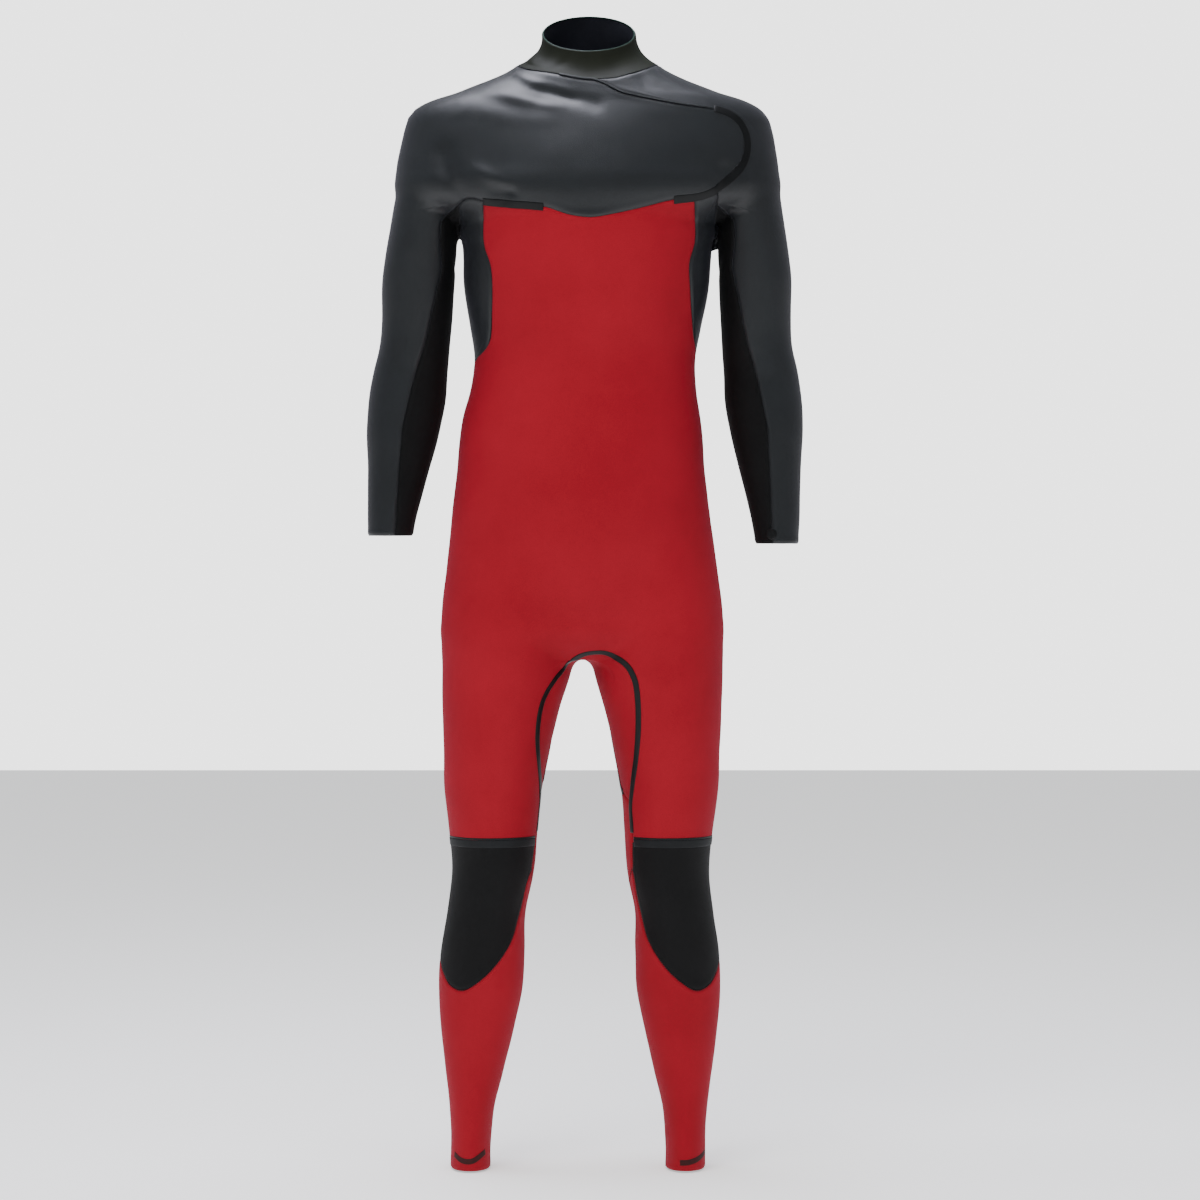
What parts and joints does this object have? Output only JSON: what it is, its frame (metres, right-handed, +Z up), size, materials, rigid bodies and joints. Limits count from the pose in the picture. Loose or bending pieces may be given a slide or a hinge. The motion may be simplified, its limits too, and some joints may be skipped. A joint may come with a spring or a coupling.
{
  "type": "steamer wetsuit",
  "caption": "Full-length neoprene wetsuit with an overlapping chest flap, upright and hollow as worn, with open neck, cuffs and ankle hems.",
  "frame": {"origin": "middle of the neck's foot, where the wearer or a display form holds the garment up", "axes": "+Z up along the body, towards the collar; +X towards the wearer's left; the front faces -Y"},
  "size_m": [0.5537, 0.2464, 1.471],
  "materials": {
    "smooth_skin": "smooth closed-cell neoprene skin, soft gloss",
    "charcoal_jersey": "charcoal nylon jersey on neoprene, matt",
    "black_jersey": "black nylon jersey on neoprene, matt",
    "red_jersey": "dark red nylon jersey on neoprene, matt",
    "seam_tape": "dark rubber tape, satin"
  },
  "bodies": {
    "root": {"back_body": "red_jersey", "back_leg_left": "red_jersey", "back_leg_right": "red_jersey", "back_yoke": "charcoal_jersey", "chest_flap": "charcoal_jersey", "collar": "smooth_skin", "cuff_patch": "seam_tape", "front_body": "red_jersey", "gusset": "red_jersey", "knee_band_left": "seam_tape", "knee_band_right": "seam_tape", "knee_left": "black_jersey", "knee_right": "black_jersey", "shin_left": "red_jersey", "shin_right": "red_jersey", "shoulder_left": "charcoal_jersey", "side_left": "charcoal_jersey", "side_right": "charcoal_jersey", "tape_chest": "seam_tape", "tape_gusset": "seam_tape", "tape_shoulder": "seam_tape", "undersleeve_left": "black_jersey", "undersleeve_right": "black_jersey"}
  },
  "joints": []
}
